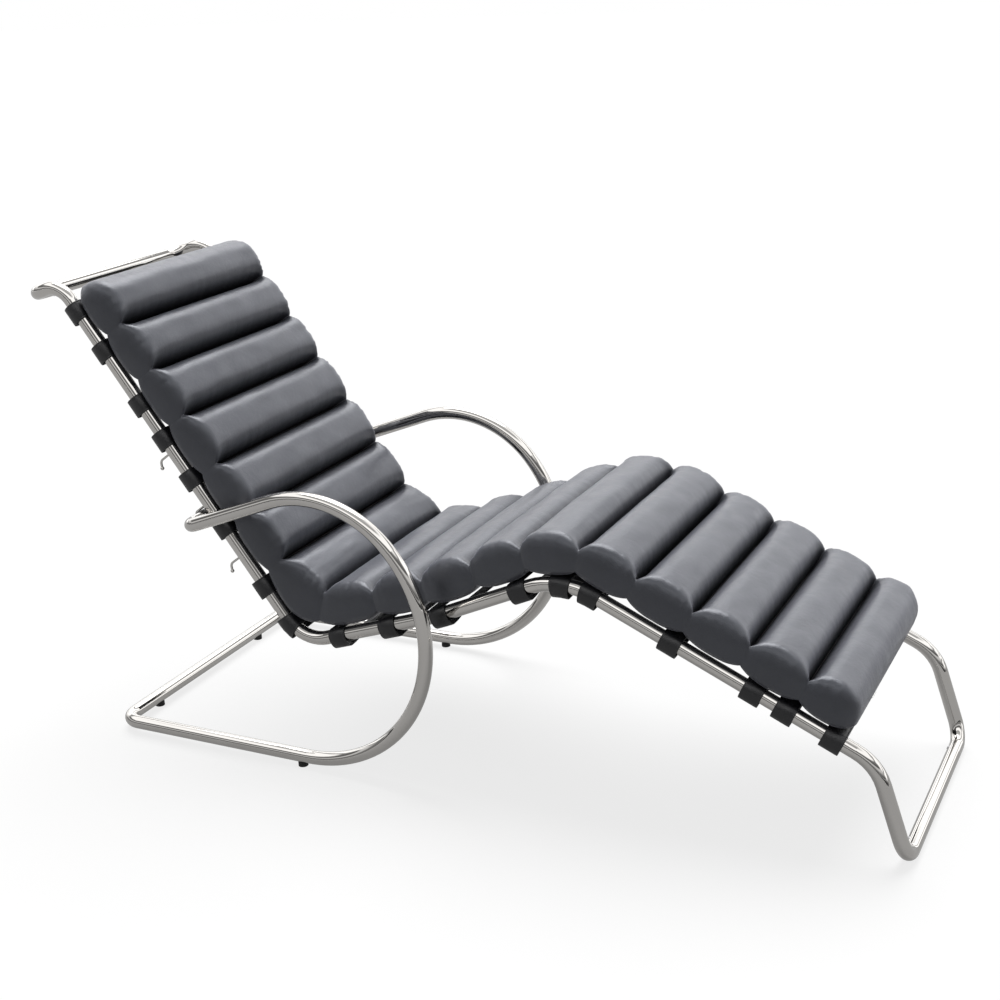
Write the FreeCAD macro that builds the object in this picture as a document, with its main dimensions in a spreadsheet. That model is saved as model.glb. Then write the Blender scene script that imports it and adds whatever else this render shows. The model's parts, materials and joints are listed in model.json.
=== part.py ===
"""Cantilever lounge chair: bent tube base, bent tube seat frame hung on it by hooks,
belts across the seat frame and a channelled leather cushion. Millimetres, +X to the
feet, +Y to the sitter's left, +Z up; the origin is on the floor under the middle."""
import FreeCAD, Part
import math
import os
import Sketcher

Vector = FreeCAD.Vector
doc = FreeCAD.newDocument("lounge_chair")

# Driving dimensions, in millimetres and degrees
SIZES = [
    ("tube_diameter", 28.0, "outside diameter of every frame tube"),
    ("tube_wall", 2.0, "wall of every frame tube"),
    ("seat_rail_spacing", 492.0, "seat frame, centre to centre of the two rails"),
    ("hoop_gap", 64.0, "seat rail to side hoop, centre to centre"),
    ("corner_bend", 40.0, "seat frame: centre line radius where a side tube turns into a cross bar"),
    ("arm_corner_bend", 28.0, "base: centre line radius where an arm turns into the upper bar"),
    ("floor_corner_bend", 38.0, "base: centre line radius where a floor rail turns into the floor bar"),
    ("seat_corner_height", 241.0, "height of the corner point between back and seat"),
    ("back_length", 866.0, "seat corner point to head curl point"),
    ("back_angle", 54.1, "slope of the back rails"),
    ("curl_length", 86.0, "head curl point to the top bar"),
    ("curl_drop_angle", 19.0, "slope of the rails behind the head curl, down to the rear"),
    ("seat_length", 318.0, "seat corner point to the sag point"),
    ("seat_angle", 18.2, "slope of the seat rails behind the sag point"),
    ("thigh_length", 290.0, "sag point to knee point"),
    ("thigh_angle", 23.8, "slope of the seat rails before the knee"),
    ("leg_length", 638.0, "knee point to ankle point"),
    ("leg_angle", 24.7, "slope of the leg rails, down to the feet"),
    ("shin_angle", 72.0, "slope of the tubes from the ankle down to the foot bar"),
    ("curl_bend", 54.0, "centre line radius of the head curl"),
    ("seat_corner_bend", 80.0, "centre line radius between back and seat"),
    ("sag_bend", 580.0, "centre line radius of the seat's sag"),
    ("knee_bend", 160.0, "centre line radius of the knee"),
    ("ankle_bend", 95.0, "centre line radius of the ankle"),
    ("frame_joint_inset", 78.0, "seat frame: rail centre line to the cross bar joint"),
    ("hoop_front_offset", 314.0, "seat corner point to the front of the hoops, along X"),
    ("hoop_bend", 285.0, "centre line radius of the hoops' front"),
    ("arm_centre_step", 55.0, "hoop bend centre to the centre of the arms' tighter bend"),
    ("arm_centre_angle", 39.0, "direction of that step, up from the front"),
    ("floor_rail_length", 747.0, "rear floor bar to the front of the hoops"),
    ("bar_joint_inset", 110.0, "base: hoop to the upper bar joint"),
    ("floor_joint_inset", 84.0, "base: hoop to the floor bar joint"),
    ("hook_station", 320.0, "seat corner point to the bar in the middle hooks, up the back"),
    ("hook_pitch", 125.0, "from one hook to the next"),
    ("hook_rod_diameter", 5.0, "rod of a hook"),
    ("hook_tip_diameter", 8.0, "ball at the end of a hook"),
    ("hook_bend", 12.0, "centre line radius of a hook's bend"),
    ("hook_tip_turn", 62.0, "angle that a hook's tip turns down"),
    ("hook_tip_length", 8.0, "straight end of a hook"),
    ("hook_mouth", 0.3, "air between a sleeve and the tips of the hooks when the frame is lifted"),
    ("hook_clearance", 0.3, "air between a sleeve and the rail or hook that rests on it"),
    ("sleeve_wall", 1.45, "wall of a bar sleeve"),
    ("sleeve_play", 0.05, "radial clearance of a sleeve on the bar"),
    ("sleeve_length", 26.0, "length of a bar sleeve"),
    ("plug_length", 60.0, "rod inside a tube joint"),
    ("plug_play", 0.05, "radial clearance of a plug in its tube"),
    ("screw_offset", 14.0, "from a tube joint to its screw"),
    ("screw_diameter", 6.0, "joint screw's thread"),
    ("screw_head_diameter", 9.0, "joint screw's head"),
    ("screw_length", 14.0, "joint screw, over all"),
    ("screw_socket", 3.0, "across the flats of every screw's socket"),
    ("screw_play", 0.1, "radial clearance around every screw"),
    ("glide_height", 8.0, "floor to the underside of the base tubes"),
    ("glide_diameter", 20.0, "foot of a glide"),
    ("glide_rise", 5.0, "how far a glide reaches up the tube"),
    ("glide_rail_setback", 14.0, "front of a floor rail's straight run to its glide"),
    ("glide_inset", 120.0, "hoop to the glide under the floor bar"),
    ("glide_screw_diameter", 4.0, "glide screw's thread"),
    ("glide_screw_head", 7.0, "glide screw's head"),
    ("strap_width", 38.0, "width of a belt"),
    ("strap_thickness", 2.2, "thickness of a belt"),
    ("strap_clearance", 0.5, "air between a belt and the rails inside it"),
    ("buckle_width", 46.0, "buckle frame across the belt"),
    ("buckle_length", 34.0, "buckle frame along the belt"),
    ("buckle_wire", 3.4, "rod of a buckle"),
    ("buckle_play", 0.3, "air between a buckle and its belt"),
    ("belt_below_hooks", 77.6, "lowest hook's root to the belt below it"),
    ("belt_beside_hook", 58.5, "middle hook's root to the belts on either side"),
    ("belt_above_hooks", 29.4, "highest hook's root to the belt above it"),
    ("end_belt_inset_head", 37.0, "cushion's head end to the last belt"),
    ("end_belt_inset_foot", 16.0, "cushion's foot end to the last belt"),
    ("seat_corner_belt_inset", 13.4, "start of the seat corner's bend to the belt on it"),
    ("knee_belt_inset", 10.0, "end of the knee's bend to the belt on it"),
    ("cushion_overhang", 16.0, "cushion's side past the rail centre line"),
    ("head_gap", 31.0, "head curl point to the cushion's head end"),
    ("foot_gap", 66.0, "ankle point to the cushion's foot end"),
    ("cushion_clearance", 0.5, "air between the belts and the cushion"),
    ("seam_height", 68.0, "rail centre line to the sewn channels, on top"),
    ("seam_underside", 32.0, "rail centre line to the sewn channels, underneath"),
    ("roll_rise", 31.0, "how far a roll stands above its channels"),
    ("roll_crown", 3.0, "extra rise of a roll at its middle"),
    ("roll_count", 17.0, "filled rolls in the cushion"),
    ("end_roll_width", 100.0, "width of the narrower roll at either end"),
    ("lap_bend", 165.0, "channel line radius in the lap"),
    ("lap_underside_bend", 100.0, "underside channel line radius in the lap"),
    ("cover_thickness", 2.5, "leather and its backing over a roll's filling"),
    ("channel_web", 4.0, "from a channel's middle to the filling beside it"),
]

# Belts between two given ones, as shares of the way from the first to the last
UPPER_BACK_BELTS = (0.0, 0.31, 0.73, 1.0)
SEAT_BELTS = (0.29, 0.667, 1.05)
LEG_BELTS = (0.0, 0.342, 0.68, 0.808, 1.0)

sheet = doc.addObject("Spreadsheet::Sheet", "sizes")
for row, (alias, value, meaning) in enumerate(SIZES, start=1):
    sheet.set(f"A{row}", meaning)
    sheet.set(f"B{row}", str(value))
    sheet.setAlias(f"B{row}", alias)
doc.recompute()


def size(alias):
    """A driving dimension as a number."""
    return float(sheet.get(alias))


# Sizes that follow from the driving dimensions
TUBE_R = size("tube_diameter") / 2
BORE_R = TUBE_R - size("tube_wall")
RAIL_Y = size("seat_rail_spacing") / 2
HOOP_Y = RAIL_Y + size("hoop_gap")
SLEEVE_BORE_R = TUBE_R + size("sleeve_play")
SLEEVE_R = SLEEVE_BORE_R + size("sleeve_wall")
STRAP_INNER_R = TUBE_R + size("strap_clearance")
STRAP_OUTER_R = STRAP_INNER_R + size("strap_thickness")
FLOOR_TUBE_Z = size("glide_height") + TUBE_R
HALF_WIDTH = RAIL_Y + size("cushion_overhang")
CUSHION_HEAD = size("back_length") - size("head_gap")
CUSHION_FOOT = size("leg_length") - size("foot_gap")
ACROSS = Vector(0, 1, 0)


def heading(degrees):
    """Unit vector in the XZ plane, measured from +X towards +Z."""
    angle = math.radians(degrees)
    return Vector(math.cos(angle), 0, math.sin(angle))


def aside(point, side, offset):
    """The point moved out of the middle plane, to the left (+1) or the right (-1)."""
    return Vector(point.x, side * offset, point.z)


# Corner points of the seat frame's centre line, from the head to the feet
UP_BACK = heading(180 - size("back_angle"))
BEHIND_BACK = heading(270 - size("back_angle"))
ALONG_LEG = heading(-size("leg_angle"))
corner = Vector(0, 0, size("seat_corner_height"))
curl = corner + UP_BACK * size("back_length")
top = curl + heading(180 + size("curl_drop_angle")) * size("curl_length")
sag = corner + heading(size("seat_angle")) * size("seat_length")
knee = sag + heading(size("thigh_angle")) * size("thigh_length")
ankle = knee + ALONG_LEG * size("leg_length")
shin = heading(-size("shin_angle"))
foot = ankle + shin * ((ankle.z - TUBE_R) / -shin.z)

# The origin is half way between the top bar and the foot bar
shift = Vector(-(top.x + foot.x) / 2, 0, 0)
top, curl, corner, sag, knee, ankle, foot = [
    point + shift for point in (top, curl, corner, sag, knee, ankle, foot)
]

# The upper cross bar lies in the middle hooks, against the back rails
BAR_GAP = TUBE_R + SLEEVE_R + size("hook_clearance")
bar = corner + UP_BACK * size("hook_station") + BEHIND_BACK * BAR_GAP


def tidy_wire(edges):
    return Part.Wire([edge for edge in edges if edge.Length > 1e-6])


def bend_points(before, vertex, after, radius):
    """Start, middle and end of the arc that rounds a vertex."""
    back = (before - vertex).normalize()
    ahead = (after - vertex).normalize()
    half_angle = back.getAngle(ahead) / 2
    bisector = (back + ahead).normalize()
    tangent = radius / math.tan(half_angle)
    centre = vertex + bisector * (radius / math.sin(half_angle))
    return vertex + back * tangent, centre - bisector * radius, vertex + ahead * tangent


def rounded_path(points, radii):
    """Straight runs joined by tangent arcs."""
    edges = []
    start = points[0]
    for index, radius in enumerate(radii, start=1):
        entry, middle, leave = bend_points(points[index - 1], points[index], points[index + 1], radius)
        if (entry - start).dot(points[index] - start) < -1e-6:
            raise ValueError(f"bend {index} is larger than its runs allow")
        if (entry - start).Length > 1e-6:
            edges.append(Part.LineSegment(start, entry).toShape())
        edges.append(Part.Arc(entry, middle, leave).toShape())
        start = leave
    edges.append(Part.LineSegment(start, points[-1]).toShape())
    return tidy_wire(edges)


def tube_along(wire, outer_radius, bore_radius=0.0):
    """A round tube or rod along a path, checked against section times length."""
    first = wire.OrderedEdges[0]
    start = first.valueAt(first.FirstParameter)
    direction = first.tangentAt(first.FirstParameter)

    def swept(radius):
        ring = Part.Wire(Part.Circle(start, direction, radius).toShape())
        return wire.makePipeShell([ring], True, False)

    solid = swept(outer_radius)
    if bore_radius:
        solid = solid.cut(swept(bore_radius))
    expected = math.pi * (outer_radius**2 - bore_radius**2) * wire.Length
    if abs(solid.Volume / expected - 1) > 0.002:
        raise ValueError("a swept tube lost volume")
    return solid


def straight_rod(start, direction, radius, length):
    return Part.makeCylinder(radius, length, start, direction)


def check_in(label, shape):
    """A piece whose form follows a path rather than one sketch."""
    piece = doc.addObject("Part::Feature", label)
    piece.Label = label
    piece.Shape = shape.removeSplitter() if len(shape.Solids) == 1 else shape
    return piece


NODES = []


def node(piece):
    NODES.append(piece)
    return piece


def group(label, pieces):
    """Identical small pieces that share a node, each a solid of its own."""
    compound = doc.addObject("Part::Compound", label)
    compound.Label = label
    compound.Links = pieces
    return node(compound)


def origin_plane(body, role):
    return next(item for item in body.Origin.OriginFeatures if item.Role == role)


def new_body(label):
    body = doc.addObject("PartDesign::Body", label)
    body.Label = label
    return body


def new_sketch(body, role, name):
    sketch = body.newObject("Sketcher::SketchObject", name)
    sketch.AttachmentSupport = [(origin_plane(body, role), "")]
    sketch.MapMode = "FlatFace"
    return sketch


def add_circle(sketch, name, radius_formula, radius):
    index = sketch.addGeometry(Part.Circle(Vector(0, 0, 0), Vector(0, 0, 1), radius), False)
    sketch.addConstraint(Sketcher.Constraint("Coincident", index, 3, -1, 1))
    constraint = sketch.addConstraint(Sketcher.Constraint("Radius", index, radius))
    sketch.renameConstraint(constraint, name)
    sketch.setExpression(f"Constraints.{name}", radius_formula)
    return index


def add_pad(body, sketch, length_formula):
    pad = body.newObject("PartDesign::Pad", f"{body.Label}_pad")
    pad.Profile = sketch
    pad.setExpression("Length", length_formula)
    pad.Midplane = True
    sketch.Visibility = False
    return pad


def round_bar(label, length_formula, outer_formula, outer, bore_formula=None, bore=None):
    """A tube or rod that lies across the chair, centred on its placement."""
    body = new_body(label)
    sketch = new_sketch(body, "XZ_Plane", f"{label}_section")
    add_circle(sketch, "outer", outer_formula, outer)
    if bore_formula:
        add_circle(sketch, "bore", bore_formula, bore)
    add_pad(body, sketch, length_formula)
    return body


def side_name(side):
    return "left" if side > 0 else "right"


# Frame tubes
SEAT_POINTS = (curl, corner, sag, knee, ankle)
SEAT_BENDS = [size(name) for name in
              ("curl_bend", "seat_corner_bend", "sag_bend", "knee_bend", "ankle_bend")]
FRAME_JOINT_Y = RAIL_Y - size("frame_joint_inset")
BAR_JOINT_Y = HOOP_Y - size("bar_joint_inset")
FLOOR_JOINT_Y = HOOP_Y - size("floor_joint_inset")
GLIDE_BAR_Y = HOOP_Y - size("glide_inset")
HOOP_FORMULA = "(sizes.seat_rail_spacing / 2 + sizes.hoop_gap"


def seat_side_path(side):
    """Top bar joint, head curl, back, seat, knee, ankle and foot bar joint."""
    points = [aside(top, side, FRAME_JOINT_Y), aside(top, side, RAIL_Y)]
    points += [aside(point, side, RAIL_Y) for point in SEAT_POINTS]
    points += [aside(foot, side, RAIL_Y), aside(foot, side, FRAME_JOINT_Y)]
    return rounded_path(points, [size("corner_bend")] + SEAT_BENDS + [size("corner_bend")])


# The hoop's front arc and its arm arc touch inside each other
hoop_centre = Vector(corner.x + size("hoop_front_offset") - size("hoop_bend"), 0,
                     FLOOR_TUBE_Z + size("hoop_bend"))
ARM_BEND = size("hoop_bend") - size("arm_centre_step")
arm_centre = hoop_centre + heading(size("arm_centre_angle")) * size("arm_centre_step")
rear_x = corner.x + size("hoop_front_offset") - size("floor_rail_length")
rear = Vector(rear_x, 0, FLOOR_TUBE_Z)


def arm_tangent():
    """Where the straight arm leaves the arm arc on its way to the upper bar."""
    to_bar = bar - arm_centre
    bearing = math.degrees(math.atan2(to_bar.z, to_bar.x))
    spread = math.degrees(math.acos(ARM_BEND / to_bar.Length))
    return arm_centre + heading(bearing - spread) * ARM_BEND, bearing - spread


def base_side_path(side):
    """Rear floor bar joint, floor rail, front arc, arm and upper bar joint."""
    arm_start, arm_bearing = arm_tangent()
    meeting_bearing = size("arm_centre_angle")
    meeting = heading(meeting_bearing)
    front_start = Vector(hoop_centre.x, 0, FLOOR_TUBE_Z)
    arc_points = [
        front_start,
        hoop_centre + heading((meeting_bearing - 90) / 2) * size("hoop_bend"),
        hoop_centre + meeting * size("hoop_bend"),
        arm_centre + heading((meeting_bearing + arm_bearing % 360) / 2) * ARM_BEND,
        arm_start,
    ]
    arcs = [aside(point, side, HOOP_Y) for point in arc_points]
    low = bend_points(aside(rear, side, FLOOR_JOINT_Y), aside(rear, side, HOOP_Y), arcs[0],
                      size("floor_corner_bend"))
    high = bend_points(arcs[4], aside(bar, side, HOOP_Y), aside(bar, side, BAR_JOINT_Y),
                       size("arm_corner_bend"))
    return tidy_wire([
        Part.LineSegment(aside(rear, side, FLOOR_JOINT_Y), low[0]).toShape(),
        Part.Arc(*low).toShape(),
        Part.LineSegment(low[2], arcs[0]).toShape(),
        Part.Arc(*arcs[0:3]).toShape(),
        Part.Arc(*arcs[2:5]).toShape(),
        Part.LineSegment(arcs[4], high[0]).toShape(),
        Part.Arc(*high).toShape(),
        Part.LineSegment(high[2], aside(bar, side, BAR_JOINT_Y)).toShape(),
    ])


class Joint:
    """A cross bar joint: where it is and which way its screw's head faces."""

    def __init__(self, centre, side, offset, facing):
        self.centre = aside(centre, side, offset)
        self.side = side
        self.facing = facing
        self.screw_foot = aside(centre, side, offset + size("screw_offset"))

    def hole(self, radius):
        return straight_rod(self.screw_foot, self.facing, radius, 2 * TUBE_R)


FACE_DOWN = heading(-90)
FRAME_JOINTS = [Joint(point, side, FRAME_JOINT_Y, facing)
                for point, facing in ((top, heading(-50)), (foot, heading(150)))
                for side in (1, -1)]
BASE_JOINTS = [Joint(point, side, offset, facing)
               for point, offset, facing in ((rear, FLOOR_JOINT_Y, heading(180)),
                                             (bar, BAR_JOINT_Y, FACE_DOWN))
               for side in (1, -1)]
HEAD_HOLE_R = size("screw_head_diameter") / 2 + size("screw_play")

FRONT_GLIDE_X = hoop_centre.x - size("glide_rail_setback")
GLIDE_SPOTS = [("rear", rear.x, GLIDE_BAR_Y), ("front", FRONT_GLIDE_X, HOOP_Y)]
GLIDE_HOLE_R = size("glide_screw_diameter") / 2 + size("screw_play")


def side_tube(label, path, joints, glide_holes):
    shape = tube_along(path, TUBE_R, BORE_R)
    for joint in joints:
        shape = shape.cut(joint.hole(HEAD_HOLE_R))
    for spot in glide_holes:
        shape = shape.cut(straight_rod(spot, Vector(0, 0, 1), GLIDE_HOLE_R, TUBE_R))
    return node(check_in(label, shape))


for side in (1, -1):
    name = side_name(side)
    side_tube(f"base_side_tube_{name}", base_side_path(side),
              [joint for joint in BASE_JOINTS if joint.side == side],
              [Vector(FRONT_GLIDE_X, side * HOOP_Y, 0)])
    side_tube(f"seat_side_tube_{name}", seat_side_path(side),
              [joint for joint in FRAME_JOINTS if joint.side == side], [])

CROSS_BARS = [
    ("base_floor_bar", rear, f"{HOOP_FORMULA} - sizes.floor_joint_inset) * 2", True),
    ("base_upper_bar", bar, f"{HOOP_FORMULA} - sizes.bar_joint_inset) * 2", False),
    ("seat_top_bar", top, "(sizes.seat_rail_spacing / 2 - sizes.frame_joint_inset) * 2", False),
    ("seat_foot_bar", foot, "(sizes.seat_rail_spacing / 2 - sizes.frame_joint_inset) * 2", False),
]
for label, centre, length_formula, drilled in CROSS_BARS:
    cross_bar = round_bar(label, length_formula, "sizes.tube_diameter / 2", TUBE_R,
                          "sizes.tube_diameter / 2 - sizes.tube_wall", BORE_R)
    cross_bar.Placement.Base = centre
    if drilled:
        drill = new_sketch(cross_bar, "XY_Plane", f"{label}_holes")
        for side in (1, -1):
            hole = drill.addGeometry(
                Part.Circle(Vector(0, side * GLIDE_BAR_Y, 0), Vector(0, 0, 1), GLIDE_HOLE_R), False)
            drill.addConstraint(Sketcher.Constraint("PointOnObject", hole, 3, -2))
            radius = drill.addConstraint(Sketcher.Constraint("Radius", hole, GLIDE_HOLE_R))
            drill.renameConstraint(radius, f"hole_{side_name(side)}")
            drill.setExpression(f"Constraints.hole_{side_name(side)}",
                                "sizes.glide_screw_diameter / 2 + sizes.screw_play")
            ends = (-1, 1, hole, 3) if side > 0 else (hole, 3, -1, 1)
            place = drill.addConstraint(Sketcher.Constraint("DistanceY", *ends, GLIDE_BAR_Y))
            drill.renameConstraint(place, f"place_{side_name(side)}")
            drill.setExpression(f"Constraints.place_{side_name(side)}",
                                f"{HOOP_FORMULA} - sizes.glide_inset)")
        doc.recompute()
        pocket = cross_bar.newObject("PartDesign::Pocket", f"{label}_pocket")
        pocket.Profile = drill
        pocket.setExpression("Length", "sizes.tube_diameter")
        pocket.Reversed = False
    node(cross_bar)


# Rods inside the tube joints, with a threaded hole for each screw
PLUG_HOLE_DEPTH = 2.0


def joint_plugs(label, joints):
    plugs = []
    for index, joint in enumerate(joints, start=1):
        rod = doc.addObject("Part::Cylinder", f"{label}_rod_{index}")
        rod.setExpression("Radius", "sizes.tube_diameter / 2 - sizes.tube_wall - sizes.plug_play")
        rod.setExpression("Height", "sizes.plug_length")
        rod.Placement = FreeCAD.Placement(joint.centre - ACROSS * (size("plug_length") / 2),
                                          FreeCAD.Rotation(Vector(0, 0, 1), ACROSS))
        bore = doc.addObject("Part::Cylinder", f"{label}_bore_{index}")
        bore.setExpression("Radius", "sizes.screw_diameter / 2 + sizes.screw_play")
        bore.setExpression("Height", "sizes.tube_diameter")
        bore.Placement = FreeCAD.Placement(joint.screw_foot - joint.facing * PLUG_HOLE_DEPTH,
                                           FreeCAD.Rotation(Vector(0, 0, 1), joint.facing))
        plug = doc.addObject("Part::Cut", f"{label}_{index}")
        plug.Base = rod
        plug.Tool = bore
        plugs.append(plug)
    return group(label, plugs)


HEX_SIDES = 6
SOCKET_SHARE = 0.7


def socket_screw(name, foot_point, facing, length, thread_formula, head_formula, head_height):
    """A screw whose thread starts at foot_point and whose socket faces the given way."""
    turn = FreeCAD.Rotation(Vector(0, 0, 1), facing)
    thread = doc.addObject("Part::Cylinder", f"{name}_thread")
    thread.setExpression("Radius", thread_formula)
    thread.Height = length
    thread.Placement = FreeCAD.Placement(foot_point, turn)
    head = doc.addObject("Part::Cylinder", f"{name}_head")
    head.setExpression("Radius", head_formula)
    head.Height = head_height
    head.Placement = FreeCAD.Placement(foot_point + facing * (length - head_height), turn)
    blank = doc.addObject("Part::Fuse", f"{name}_blank")
    blank.Base = thread
    blank.Tool = head
    socket = doc.addObject("Part::Prism", f"{name}_socket")
    socket.Polygon = HEX_SIDES
    socket.setExpression("Circumradius", "sizes.screw_socket / sqrt(3)")
    socket.Height = head_height
    socket.Placement = FreeCAD.Placement(
        foot_point + facing * (length - head_height * SOCKET_SHARE), turn)
    screw = doc.addObject("Part::Cut", name)
    screw.Base = blank
    screw.Tool = socket
    return screw


HEAD_PROUD = 0.6
JOINT_HEAD_HEIGHT = size("tube_wall") + HEAD_PROUD


def joint_screws(label, joints):
    screws = []
    for index, joint in enumerate(joints, start=1):
        top_of_head = BORE_R + JOINT_HEAD_HEIGHT
        start = joint.screw_foot + joint.facing * (top_of_head - size("screw_length"))
        screws.append(socket_screw(f"{label}_{index}", start, joint.facing, size("screw_length"),
                                   "sizes.screw_diameter / 2", "sizes.screw_head_diameter / 2",
                                   JOINT_HEAD_HEIGHT))
    return group(label, screws)


joint_plugs("base_joint_plugs", BASE_JOINTS)
joint_screws("base_joint_screws", BASE_JOINTS)
joint_plugs("seat_joint_plugs", FRAME_JOINTS)
joint_screws("seat_joint_screws", FRAME_JOINTS)


# Glides: round feet that reach a little way up the tube, each held by one screw
GLIDE_RECESS = 2.6
HEAD_ABOVE_FLOOR = 0.6
HEAD_UNDER_RECESS = 0.1
SCREW_INSIDE_TUBE = 3.0


def glide(label, x, y, tube_runs_across):
    """A foot turned from a rod, hollowed by its tube and by its screw's recess."""
    body = new_body(label)
    outline = new_sketch(body, "XY_Plane", f"{label}_outline")
    add_circle(outline, "foot", "sizes.glide_diameter / 2", size("glide_diameter") / 2)
    pad = body.newObject("PartDesign::Pad", f"{label}_pad")
    pad.Profile = outline
    pad.setExpression("Length", "sizes.glide_height + sizes.glide_rise")
    doc.recompute()
    saddle = new_sketch(body, "XZ_Plane" if tube_runs_across else "YZ_Plane", f"{label}_saddle")
    ring = saddle.addGeometry(
        Part.Circle(Vector(0, FLOOR_TUBE_Z, 0), Vector(0, 0, 1), TUBE_R), False)
    saddle.addConstraint(Sketcher.Constraint("PointOnObject", ring, 3, -2))
    radius = saddle.addConstraint(Sketcher.Constraint("Radius", ring, TUBE_R))
    saddle.renameConstraint(radius, "tube")
    saddle.setExpression("Constraints.tube", "sizes.tube_diameter / 2")
    rise = saddle.addConstraint(Sketcher.Constraint("DistanceY", -1, 1, ring, 3, FLOOR_TUBE_Z))
    saddle.renameConstraint(rise, "height")
    saddle.setExpression("Constraints.height", "sizes.glide_height + sizes.tube_diameter / 2")
    hollow = body.newObject("PartDesign::Pocket", f"{label}_hollow")
    hollow.Profile = saddle
    hollow.Midplane = True
    hollow.setExpression("Length", "sizes.glide_diameter * 2")
    doc.recompute()
    recess = ("recess", "sizes.glide_screw_head / 2 + sizes.screw_play", GLIDE_RECESS)
    shank = ("shank", "sizes.glide_screw_diameter / 2 + sizes.screw_play", None)
    for step, formula, depth in (recess, shank):
        ring_sketch = new_sketch(body, "XY_Plane", f"{label}_{step}_ring")
        add_circle(ring_sketch, step, formula, size("glide_screw_head") / 2)
        doc.recompute()
        drill = body.newObject("PartDesign::Pocket", f"{label}_{step}")
        drill.Profile = ring_sketch
        drill.Reversed = True
        if depth:
            drill.Length = depth
        else:
            drill.setExpression("Length", "sizes.glide_height + sizes.glide_rise")
        doc.recompute()
    body.Placement.Base = Vector(x, y, 0)
    return node(body)


glide_screws = []
for spot_name, glide_x, glide_y in GLIDE_SPOTS:
    for side in (1, -1):
        glide(f"{spot_name}_glide_{side_name(side)}", glide_x, side * glide_y, spot_name == "rear")
        screw_top = Vector(glide_x, side * glide_y,
                           size("glide_height") + size("tube_wall") + SCREW_INSIDE_TUBE)
        glide_screws.append(socket_screw(
            f"glide_screw_{spot_name}_{side_name(side)}", screw_top, FACE_DOWN,
            screw_top.z - HEAD_ABOVE_FLOOR,
            "sizes.glide_screw_diameter / 2", "sizes.glide_screw_head / 2",
            GLIDE_RECESS - HEAD_ABOVE_FLOOR - HEAD_UNDER_RECESS))
group("glide_screws", glide_screws)


# Sleeves that turn on the upper bar and carry the hooks
for side in (1, -1):
    sleeve = round_bar(f"bar_sleeve_{side_name(side)}", "sizes.sleeve_length",
                       "sizes.tube_diameter / 2 + sizes.sleeve_play + sizes.sleeve_wall", SLEEVE_R,
                       "sizes.tube_diameter / 2 + sizes.sleeve_play", SLEEVE_BORE_R)
    sleeve.Placement.Base = aside(bar, side, RAIL_Y)
    node(sleeve)


# Hooks: a rod out of the back rail, over the bar and down behind it, with a ball tip
ROOT_ABOVE_BAR = SLEEVE_R + size("hook_clearance") + size("hook_rod_diameter") / 2
WELD_SPREAD = 1.9


def hook_reach():
    """Rail centre line to a hook's bend, for a tip that passes the sleeve when lifted."""
    turn = math.radians(size("hook_tip_turn"))
    drop = size("hook_bend") * (1 - math.cos(turn)) + size("hook_tip_length") * math.sin(turn)
    tip_beyond_bend = size("hook_bend") * math.sin(turn) + size("hook_tip_length") * math.cos(turn)
    beside_bar = SLEEVE_R + size("hook_tip_diameter") / 2 + size("hook_mouth")
    level = (ROOT_ABOVE_BAR - drop) * UP_BACK.x
    return BAR_GAP + (-beside_bar - level) / BEHIND_BACK.x - tip_beyond_bend


def hook(label, station, side):
    rod_r = size("hook_rod_diameter") / 2
    root = corner + UP_BACK * (station + ROOT_ABOVE_BAR)
    bend_start = root + BEHIND_BACK * hook_reach()
    centre = bend_start - UP_BACK * size("hook_bend")
    turn = math.radians(size("hook_tip_turn"))

    def on_bend(angle):
        return centre + (UP_BACK * math.cos(angle) + BEHIND_BACK * math.sin(angle)) * size("hook_bend")

    tip_way = BEHIND_BACK * math.cos(turn) - UP_BACK * math.sin(turn)
    tip = on_bend(turn) + tip_way * size("hook_tip_length")
    path = tidy_wire([
        Part.LineSegment(root, bend_start).toShape(),
        Part.Arc(on_bend(0), on_bend(turn / 2), on_bend(turn)).toShape(),
        Part.LineSegment(on_bend(turn), tip).toShape(),
    ])
    rod = tube_along(path, rod_r)
    ball = Part.makeSphere(size("hook_tip_diameter") / 2, tip)
    weld = Part.makeCone(rod_r * WELD_SPREAD, rod_r, TUBE_R + rod_r, root, BEHIND_BACK)
    rail = straight_rod(root - UP_BACK * 2 * TUBE_R, UP_BACK, TUBE_R, 4 * TUBE_R)
    shape = rod.fuse([ball, weld]).cut(rail)
    piece = check_in(label, shape)
    piece.Placement.Base = Vector(0, side * RAIL_Y, 0)
    return node(piece)


HOOK_LEVELS = [("lower", -1), ("middle", 0), ("upper", 1)]
for level, step in HOOK_LEVELS:
    for side in (1, -1):
        hook(f"back_hook_{level}_{side_name(side)}",
             size("hook_station") + step * size("hook_pitch"), side)


# Stations on the rails' centre line in the middle plane
seat_line = rounded_path([top, curl, corner, sag, knee, ankle, foot], SEAT_BENDS)
TIGHT_BENDS = ("seat_corner_bend", "knee_bend")
BELT_RAY = 3 * size("strap_width")


def nearest_on_rails(point, upward):
    """The rail centre line's edge, place, direction and up normal next to a point."""
    ray = Part.LineSegment(point - upward * BELT_RAY, point + upward * BELT_RAY).toShape()
    place = seat_line.distToShape(ray)[1][0][0]
    for edge in seat_line.Edges:
        if edge.distToShape(Part.Vertex(place))[0] < 1e-4:
            along = edge.tangentAt(edge.Curve.parameter(place))
            if along.dot(ACROSS.cross(upward)) < 0:
                along = -along
            return edge, place, along, along.cross(ACROSS).normalize()
    raise ValueError("a belt missed the rails")


def tight_bend(edge):
    """The name of the tight bend that an edge is, if it is one."""
    if isinstance(edge.Curve, Part.Circle):
        for name in TIGHT_BENDS:
            if abs(edge.Curve.Radius - size(name)) < 1e-6:
                return name
    return None


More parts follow.
